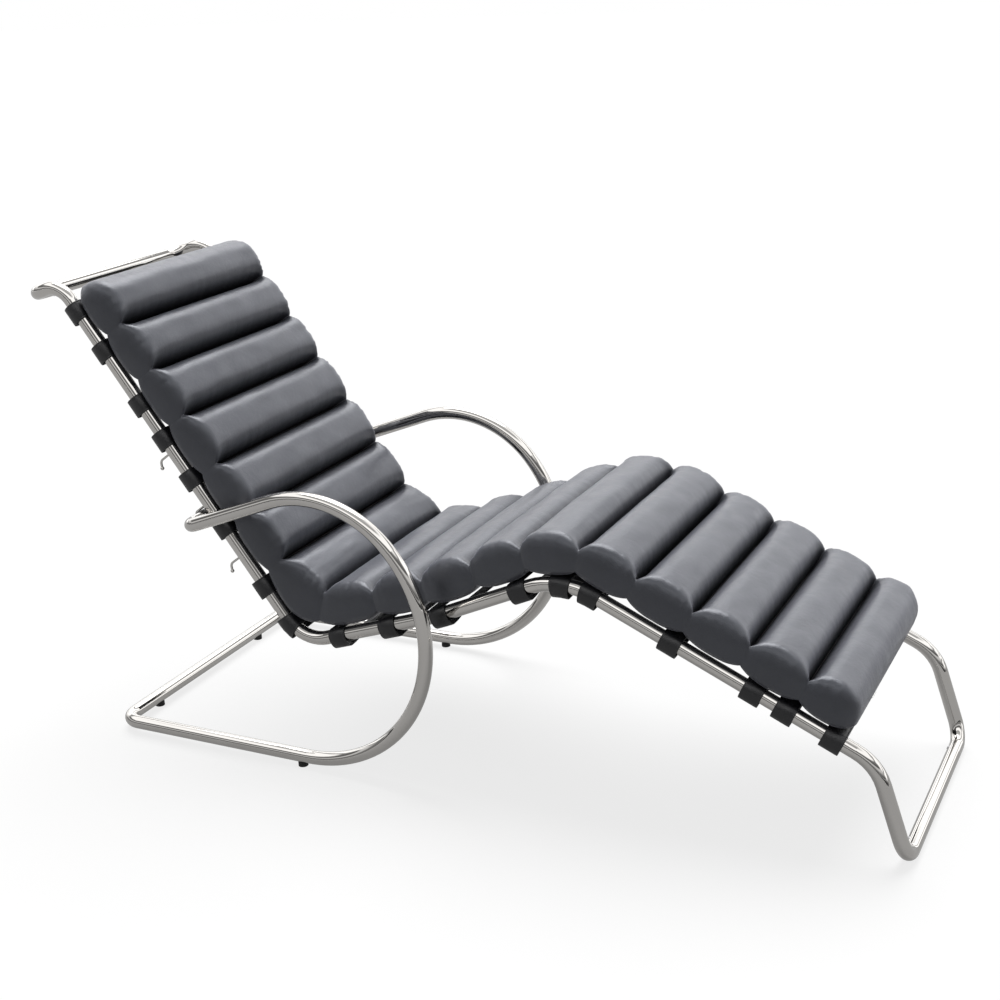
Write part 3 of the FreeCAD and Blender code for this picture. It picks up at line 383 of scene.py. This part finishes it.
cushion_leather = leather("cushion_leather", dark=(0.042, 0.0445, 0.054),
                          light=(0.057, 0.060, 0.072), rough=0.36, cell=620.0, crease=60.0)
# The cushion's leather gets its cool shine and painted shade in its creases
shine_and_paint_crease_shade(cushion_leather)
belt_leather = leather("belt_leather", dark=(0.010, 0.010, 0.012),
                       light=(0.018, 0.018, 0.021), rough=0.40, cell=900.0, crease=90.0)
chrome = metal("chrome", (0.52, 0.505, 0.485), low=0.035, high=0.085, bump=0.04)
steel = metal("screw_steel", (0.52, 0.52, 0.54), low=0.25, high=0.42, bump=0.15,
              streak=(8.0, 1.0, 1.0))
bright_wire = metal("buckle_metal", (0.8, 0.8, 0.79), low=0.08, high=0.16, bump=0.05)
rubber = plain("glide_rubber", dark=(0.012, 0.012, 0.012), light=(0.024, 0.024, 0.025),
               rough=0.7, scale=900.0, depth=0.0002)
plastic = plain("sleeve_plastic", dark=(0.012, 0.012, 0.013), light=(0.02, 0.02, 0.022),
                rough=0.5, scale=1200.0, depth=0.0001)
foam = plain("cushion_foam", dark=(0.55, 0.53, 0.46), light=(0.68, 0.66, 0.6),
             rough=0.9, scale=400.0, depth=0.0008)

SLOT_MATERIALS = {
    "tube_chrome": chrome, "screw_steel": steel, "plug_steel": steel, "buckle_metal": bright_wire,
    "glide_rubber": rubber, "sleeve_plastic": plastic, "belt_leather": belt_leather,
    "cushion_leather": cushion_leather, "cushion_foam": foam,
}
for part in frame["record"]["subparts"]:
    shown = frame["nodes"][part["node"]]
    shown.data.materials.clear()
    shown.data.materials.append(SLOT_MATERIALS[part["material_slot"]])


# Meshes
def in_scene(name, data):
    made = bpy.data.objects.new(name, data)
    bpy.context.scene.collection.objects.link(made)
    return made


def mesh_object(name, vertices, faces, material, body):
    mesh = bpy.data.meshes.new(name)
    mesh.from_pydata([tuple(vertex) for vertex in vertices], [], faces)
    mesh.validate()
    mesh.polygons.foreach_set("use_smooth", [True] * len(mesh.polygons))
    mesh.materials.append(material)
    made = in_scene(name, mesh)
    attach(made, body)
    return made


# Cushion: sewn rolls whose ends are gathered to a seam along each side. How close its
# columns and rows lie, and how far the first three seams stand from an even pitch
ACROSS_ROLL = 22
END_STEPS = 12
ACROSS_STEPS = 76
CLOSER_AT_SEAMS = 0.65
SEAM_SHIFTS = (0.006, 0.012, 0.0045)

# The crease between two rolls: its depth, how wide it falls away, and how wide shade is painted
# dark into it; then how much it is filled up at the sides, and how far in from them
CREASE_DEPTH = 0.026
CREASE_WIDTH = 0.0080
CREASE_SHADE = 0.0105
SIDE_FILL = 0.021
FILL_REACH = 0.024

# Height of the side seam above the tube's middle, along the rolls and at the free ends
SIDE_LEVEL = 0.038
FREE_LEVEL = 0.040

# Roundness: a roll's top and under side, the two free ends, and both faces at the sides
TOP_POWER, TOP_SPREAD = 2.7, 0.72
LOW_POWER, LOW_SPREAD = 2.6, 0.8
FREE_ROUND = 2.1
END_BULGE = 0.004
END_TURN, END_ROUND = 0.030, 2.4
UNDER_TURN, UNDER_ROUND = 0.022, 2.0

# How far the sides are drawn in at the seams and at the four corners, and how deep that goes
SIDE_PINCH, SIDE_PINCH_REACH = 0.005, 0.03
CORNER_PINCH, CORNER_PINCH_REACH = 0.020, 0.05

# Uneven leather as smooth noise: steps from roll to roll, across a roll and per metre along
# it, layers for the top and under side, seed and octaves
SOFT_NOISE = {"by_roll": 3.7, "across": 1.1, "along": 9, "layers": (0.0, 5.0), "seed": 11.0,
              "octaves": 2}
GATHER_NOISE = {"by_roll": 5.1, "across": 0.35, "along": 62, "layers": (2.0, 7.0), "seed": 23.0,
                "octaves": 2}
PLEAT_NOISE = {"by_roll": 2.3, "across": 6.5, "along": 3, "layers": (4.0, 9.0), "seed": 37.0,
               "octaves": 3}
FRACTAL_INCREMENT, LACUNARITY = 0.6, 2.0

# How far each of them moves the leather: gathers beside the seams, pleats beside the sides,
# which also go outwards; then the under side's share of both
SOFT_RISE = 0.0016
GATHER_RISE, GATHER_START, GATHER_REACH = 0.0024, 0.003, 0.012
PLEAT_RISE, PLEAT_OUT, PLEAT_INSET, PLEAT_REACH = 0.0015, 0.0014, 0.012, 0.018
UNDER_WRINKLES = 0.5
UNDER_PLEATS = 0.4

pitch = (channel_line.length - 2 * END_ROLL) / (ROLLS - 2)
seam_places = np.r_[0, END_ROLL + pitch * np.arange(ROLLS - 1), channel_line.length]
seam_places[:len(SEAM_SHIFTS)] += SEAM_SHIFTS


def roll_steps():
    """Places across one roll, from -1 at one seam to 1 at the next, closer at the seams."""
    even = np.linspace(-1, 1, ACROSS_ROLL + 1)
    return np.sin(even * math.pi / 2) * CLOSER_AT_SEAMS + even * (1 - CLOSER_AT_SEAMS)


def side_steps():
    """Insets from one side to the other, and the share of full thickness at each."""
    angles = np.linspace(0, math.pi / 2, END_STEPS + 1)
    insets = END_TURN * (1 - np.cos(angles) ** (2 / END_ROUND))
    shares = np.sin(angles) ** (2 / END_ROUND)
    middle = np.linspace(END_TURN, 2 * HALF_WIDTH - END_TURN, ACROSS_STEPS + 1)[1:-1]
    insets = np.r_[insets, middle, 2 * HALF_WIDTH - insets[::-1]]
    shares = np.r_[shares, np.ones(len(middle)), shares[::-1]]
    return insets, shares


def cushion_columns():
    """For each column: its place, roll number, and where it is across its roll."""
    places, rolls, across = [], [], []
    for index in range(ROLLS):
        steps = roll_steps()
        if index < ROLLS - 1:
            steps = steps[:-1]
        first, last = seam_places[index], seam_places[index + 1]
        places += list((first + last) / 2 + steps * (last - first) / 2)
        rolls += [index] * len(steps)
        across += list(steps)
    return np.array(places), np.array(rolls), np.array(across)


def rounded(edge, power):
    """Quarter of a rounded square: 1 in the middle, 0 at the edge."""
    return (1 - edge**power) ** (1 / power)


def uneven(rolls, across, y, is_top, kind):
    """Repeatable noise between about -1 and 1 over a grid of the cushion's points."""
    layer = kind["layers"][0 if is_top else 1]
    keys = np.stack([rolls * kind["by_roll"] + across * kind["across"], y * kind["along"],
                     np.full_like(y, layer)], -1).reshape(-1, 3)
    shift = Vector((kind["seed"], 0, 0))
    values = [noise.fractal(Vector(key) + shift, FRACTAL_INCREMENT, LACUNARITY, kind["octaves"])
              for key in keys]
    return np.array(values).reshape(y.shape)


def lift_off_belts(points):
    """Raise what would dip into the belts to the height at which a roll rests."""
    flat = points.reshape(-1, 3)
    index = rail_line.nearest(flat[:, [0, 2]])
    ups = rail_line.ups[index]
    height = ((flat[:, [0, 2]] - rail_line.points[index]) * ups).sum(-1)
    flat[:, [0, 2]] += ups * np.clip(REST_UP - height, 0, None)[:, None]
    return flat.reshape(points.shape)


def sewn(top, bottom):
    """Vertices and faces of one closed skin of two grids that share their border."""
    columns, rows = top.shape[:2]
    vertices = list(top.reshape(-1, 3))
    numbers = {}

    def number(side, column, row):
        if side == "top" or column in (0, columns - 1) or row in (0, rows - 1):
            return column * rows + row
        key = (column, row)
        if key not in numbers:
            numbers[key] = len(vertices)
            vertices.append(bottom[column, row])
        return numbers[key]

    faces = []
    for column in range(columns - 1):
        for row in range(rows - 1):
            corners = [(column, row), (column + 1, row), (column + 1, row + 1), (column, row + 1)]
            faces.append([number("top", *corner) for corner in corners])
            faces.append([number("bottom", *corner) for corner in corners[::-1]])
    return vertices, faces


def build_cushion():
    """One padded skin round all the rolls, with values near its creases by which the material
    paints shade there.
    """
    places, rolls, across = cushion_columns()
    insets, shares = side_steps()
    spot = channel_line.at(places)
    up = channel_line.at(places, "ups")
    way = channel_line.at(places, "ways")
    edge = np.abs(across)
    to_seam = (1 - edge) * (seam_places[rolls + 1] - seam_places[rolls]) / 2
    free = ((rolls == 0) & (across < 0)) | ((rolls == ROLLS - 1) & (across > 0))

    # Along the cushion, measured up from the channel line: side seam, top and under side
    rest = -drops(rest_line, places)
    under = -drops(under_line, places)
    side_level = SIDE_LEVEL + np.where(free, (FREE_LEVEL - SIDE_LEVEL) * edge**2, 0.0)
    core = rest + (side_level - REST_UP)
    full_top = ROLL_RISE * (1 - edge**TOP_POWER) ** TOP_SPREAD
    full_low = under + (rest - under) * (1 - edge**LOW_POWER) ** LOW_SPREAD
    end_share = rounded(edge, FREE_ROUND)
    high = np.where(free, core + (ROLL_RISE - core) * end_share, full_top)
    low = np.where(free, core + (rest - core) * end_share, full_low)
    out = np.where(free, END_BULGE * edge**3, 0.0) * np.sign(across)
    crease = np.where(free, 0.0, CREASE_DEPTH * np.exp(-to_seam / CREASE_WIDTH))[:, None]
    fill = np.where(free, 0.0, SIDE_FILL * (1 - full_top / ROLL_RISE))[:, None]
    core = core[:, None]

    # Over the grid of columns and rows
    grid_across = np.repeat(across[:, None], len(insets), 1)
    grid_roll = np.repeat(rolls[:, None], len(insets), 1)
    near_edge = np.abs(grid_across) ** 3
    off_seam = 1 - np.abs(grid_across) ** 4
    inset = np.minimum(insets, 2 * HALF_WIDTH - insets)[None, :]
    lateral = (insets - HALF_WIDTH)[None, :]
    share = shares[None, :]
    under_share = rounded(1 - np.clip(inset / UNDER_TURN, 0, 1), UNDER_ROUND)
    pinch = np.where(free[:, None],
                     CORNER_PINCH * near_edge * np.exp(-inset / CORNER_PINCH_REACH),
                     SIDE_PINCH * near_edge * np.exp(-inset / SIDE_PINCH_REACH))
    y = lateral * (1 - pinch / HALF_WIDTH)
    crown = ROLL_CROWN * (1 - (lateral / HALF_WIDTH) ** 2)
    by_side = np.exp(-((inset / FILL_REACH) ** 2))
    gathers = np.exp(-to_seam / GATHER_REACH) * (1 - np.exp(-to_seam / GATHER_START))
    pleats = np.exp(-(((inset - PLEAT_INSET) / PLEAT_REACH) ** 2)) * share

    def surface(line, is_top):
        reach = line[:, None] - core
        if is_top:
            reach = reach + crown * off_seam + fill * by_side - crease * (1 - by_side)
        level = core + reach * (share if is_top else under_share)
        soft, gather, pleat = (uneven(grid_roll, grid_across, y, is_top, kind)
                               for kind in (SOFT_NOISE, GATHER_NOISE, PLEAT_NOISE))
        wrinkles = SOFT_RISE * soft * off_seam + GATHER_RISE * gather * gathers[:, None]
        level = level + share * wrinkles * (1 if is_top else UNDER_WRINKLES)
        level = level + PLEAT_RISE * pleat * pleats * (1 if is_top else UNDER_PLEATS)
        side_out = PLEAT_OUT * pleat * pleats * np.sign(y)
        points = (spot[:, None, :] + up[:, None, :] * level[..., None]
                  + way[:, None, :] * out[:, None, None] * share[..., None])
        return np.stack([points[..., 0], y + side_out, points[..., 1]], -1)

    top = surface(high, True)
    vertices, faces = sewn(top, lift_off_belts(surface(low, False)))
    made = mesh_object("cushion", vertices, faces, cushion_leather, "seat_frame")
    # Painted shade for the creases: how dark the material paints each top point near a seam, fading
    # by the sides; the under side gets none
    painted_shade_share = np.where(free, 0.0, np.exp(-((to_seam / CREASE_SHADE) ** 2)))[:, None]
    painted_crease_shades = np.zeros(len(vertices))
    painted_crease_shades[:top.shape[0] * top.shape[1]] = (painted_shade_share * (1 - by_side)).reshape(-1)
    made.data.attributes.new("crease", "FLOAT", "POINT").data.foreach_set("value", painted_crease_shades)
    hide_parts("cushion_cover", "cushion_filling")


build_cushion()


# Belts: flat straps round both tubes, with rounded edges and a pressed groove along each
BELT_NODES = [f"{stem}_belt_{index}" for stem, count in (("back", 8), ("seat", 4), ("leg", 5))
              for index in range(1, count + 1)] + ["knee_belt"]
TURN_STEPS = 18
OVER_RUN_STEPS = 10
UNDER_RUN_STEPS = 34

# How far a belt hangs off below the tubes, how soon it does so on its way round them, and
# how far from the chair's middle its lower run is drawn up again
BELT_SAG = 0.0085
SAG_POWER = 0.7
SAG_INSIDE = 0.165

# Across the strap: place as a share of half its width, and how far in from each face
STRAP_PROFILE = [(-1.0, 0.5), (-0.985, 0.22), (-0.95, 0.05), (-0.86, 0.0), (-0.83, 0.12),
                 (-0.80, 0.0), (0.0, 0.0), (0.80, 0.0), (0.83, 0.12), (0.86, 0.0),
                 (0.95, 0.05), (0.985, 0.22), (1.0, 0.5)]


def loop_places(radius):
    """A belt's closed outline round both tubes, across the chair and above the tubes."""
    turn = np.linspace(-math.pi / 2, math.pi / 2, TURN_STEPS)
    sag = BELT_SAG * np.clip(-np.sin(turn), 0, 1) ** SAG_POWER
    right = [(RAIL_Y + radius * math.cos(a), radius * math.sin(a) - low)
             for a, low in zip(turn, sag)]
    left = [(-y, z) for y, z in right[::-1]]
    over = [(y, radius) for y in np.linspace(RAIL_Y, -RAIL_Y, OVER_RUN_STEPS)[1:-1]]
    runs = np.linspace(-RAIL_Y, RAIL_Y, UNDER_RUN_STEPS)[1:-1]
    ease = np.clip((np.abs(runs) - SAG_INSIDE) / (RAIL_Y - SAG_INSIDE), 0, 1)
    under = [(y, -radius - BELT_SAG * share**2 * (3 - 2 * share)) for y, share in zip(runs, ease)]
    return right + over + left + under


def build_belt(node):
    low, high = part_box(node)
    middle = np.array([[(low.x + high.x) / 2, (low.z + high.z) / 2]])
    place = rail_line.places[rail_line.nearest(middle)[0]]
    thickness = STRAP_OUTER - STRAP_INNER
    profile = [(share, STRAP_OUTER - thickness * dip) for share, dip in STRAP_PROFILE]
    profile += [(share, STRAP_INNER + thickness * dip) for share, dip in STRAP_PROFILE[-2:0:-1]]
    vertices = []
    for share, radius in profile:
        where = place + share * STRAP_WIDTH / 2
        point = rail_line.at(where)
        up = rail_line.at(where, "ups")
        for across, above in loop_places(radius):
            spot = point + up * above
            vertices.append((spot[0], across, spot[1]))
    ring = len(vertices) // len(profile)
    faces = []
    for line in range(len(profile)):
        here, beside = line * ring, (line + 1) % len(profile) * ring
        for step in range(ring):
            ahead = (step + 1) % ring
            faces.append([here + step, here + ahead, beside + ahead, beside + step])
    made = mesh_object(f"{node}_strap", vertices, faces, belt_leather, "seat_frame")
    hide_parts(node)


for belt in BELT_NODES:
    build_belt(belt)


# Floor and world: how bright each is where it lights the chair, where the camera sees it and
# where the metal mirrors it
WHITE = (1.0, 1.0, 1.0, 1.0)
FLOOR_HALF = 40.0
FLOOR_BOUNCE = 0.15
FLOOR_SEEN = 0.23
FLOOR_GLOW = 0.78
MIRRORED_GLOW = 0.36
AMBIENT = 0.25
REFLECTED_LEVEL = 2.2

# What the metal mirrors, from straight down at 0 to straight up at 1: the room in front, and
# the backdrop behind the chair, with the world's Y at which one passes into the other
ROOM = [(0.0, 0.8), (0.495, 0.8), (0.505, 0.02), (0.53, 0.04), (0.545, 0.30), (0.56, 0.05),
        (0.60, 0.20), (0.64, 0.45), (0.68, 0.45), (0.70, 0.06), (0.78, 0.15), (0.81, 0.9),
        (0.90, 0.9), (0.93, 0.25), (1.0, 0.4)]
BACKDROP = [(0.0, 0.9), (0.495, 0.9), (0.505, 0.15), (0.52, 0.2), (0.54, 1.0), (0.60, 1.0),
            (0.612, 0.2), (0.632, 0.2), (0.645, 1.0), (0.76, 1.0), (0.775, 0.2), (0.82, 0.25),
            (0.85, 1.0), (1.0, 0.5)]
BACKDROP_FROM = (-0.05, 0.35)

# The lamp's strength, its width in degrees, and where it stands
LAMP_STRENGTH = 2.8
LAMP_WIDTH = 48
TOWARDS_LAMP = (-0.20, 0.50, 1.0)

# The camera, solved from the photograph
SENSOR_WIDTH = 36.0
LENS = 56.7985
CAMERA_PLACE = (1.35399813, -2.6619582, 1.51299862)
CAMERA_RIGHT = (0.89984837, 0.43405116, -0.04327236)
CAMERA_UP = (-0.1035549, 0.30893734, 0.945428)
CAMERA_FORWARD = (-0.42373257, 0.84626078, -0.32294489)


def build_floor():
    mesh = bpy.data.meshes.new("floor")
    mesh.from_pydata([(x * FLOOR_HALF, y * FLOOR_HALF, 0)
                      for x, y in ((-1, -1), (1, -1), (1, 1), (-1, 1))], [], [(0, 1, 2, 3)])
    floor = in_scene("floor", mesh)
    material, nodes, links, bsdf = new_material("floor")
    nodes.remove(bsdf)
    ray = nodes.new("ShaderNodeLightPath").outputs
    seen = combine(nodes, links, "ShaderNodeMath", ray["Is Camera Ray"], ray["Is Glossy Ray"],
                   operation="MAXIMUM")
    seen = combine(nodes, links, "ShaderNodeMath", seen, ray["Is Transmission Ray"],
                   operation="MAXIMUM")
    level = combine(nodes, links, "ShaderNodeMath", ray["Is Glossy Ray"],
                    MIRRORED_GLOW - FLOOR_GLOW, FLOOR_GLOW, operation="MULTIPLY_ADD")
    strength = combine(nodes, links, "ShaderNodeMath", seen, level, operation="MULTIPLY")
    tone = ramp(nodes, links, seen, [(0.0, FLOOR_BOUNCE), (1.0, FLOOR_SEEN)])
    diffuse = combine(nodes, links, "ShaderNodeBsdfDiffuse", tone)
    glow = combine(nodes, links, "ShaderNodeEmission", WHITE, strength)
    both = combine(nodes, links, "ShaderNodeAddShader", diffuse, glow)
    links.new(both, nodes["Material Output"].inputs["Surface"])
    mesh.materials.append(material)


def build_world():
    world = bpy.data.worlds.new("studio")
    bpy.context.scene.world = world
    world.use_nodes = True
    nodes, links = world.node_tree.nodes, world.node_tree.links
    nodes.clear()
    ray = nodes.new("ShaderNodeLightPath").outputs
    split = nodes.new("ShaderNodeSeparateXYZ")
    links.new(nodes.new("ShaderNodeTexCoord").outputs["Generated"], split.inputs[0])
    height = remap(nodes, links, split.outputs["Z"], start=(-1.0, 1.0))
    behind = remap(nodes, links, split.outputs["Y"], start=BACKDROP_FROM, easing="SMOOTHSTEP")
    studio = mixed_colour(nodes, links, behind, ramp(nodes, links, height, ROOM),
                          ramp(nodes, links, height, BACKDROP))
    ambient = combine(nodes, links, "ShaderNodeBackground", WHITE, AMBIENT)
    reflected = combine(nodes, links, "ShaderNodeBackground", studio, REFLECTED_LEVEL)
    white = combine(nodes, links, "ShaderNodeBackground", WHITE, 1.0)
    light = combine(nodes, links, "ShaderNodeMixShader", ray["Is Glossy Ray"], ambient, reflected)
    seen = combine(nodes, links, "ShaderNodeMath", ray["Is Camera Ray"],
                   ray["Is Transmission Ray"], operation="MAXIMUM")
    shown = combine(nodes, links, "ShaderNodeMixShader", seen, light, white)
    links.new(shown, nodes.new("ShaderNodeOutputWorld").inputs["Surface"])


def build_lamp():
    lamp = bpy.data.lights.new("overhead", "SUN")
    lamp.energy = LAMP_STRENGTH
    lamp.angle = math.radians(LAMP_WIDTH)
    made = in_scene("overhead", lamp)
    made.rotation_euler = Vector(TOWARDS_LAMP).to_track_quat("Z", "Y").to_euler()


def build_camera():
    data = bpy.data.cameras.new("camera")
    data.sensor_width = SENSOR_WIDTH
    data.lens = LENS
    camera = in_scene("camera", data)
    right, up, forward = Vector(CAMERA_RIGHT), Vector(CAMERA_UP), Vector(CAMERA_FORWARD)
    turn = Matrix((right, up, -forward)).transposed().to_4x4()
    camera.matrix_world = Matrix.Translation(CAMERA_PLACE) @ turn
    bpy.context.scene.camera = camera


build_floor()
build_world()
build_lamp()
build_camera()
bpy.context.scene.view_settings.view_transform = "Standard"
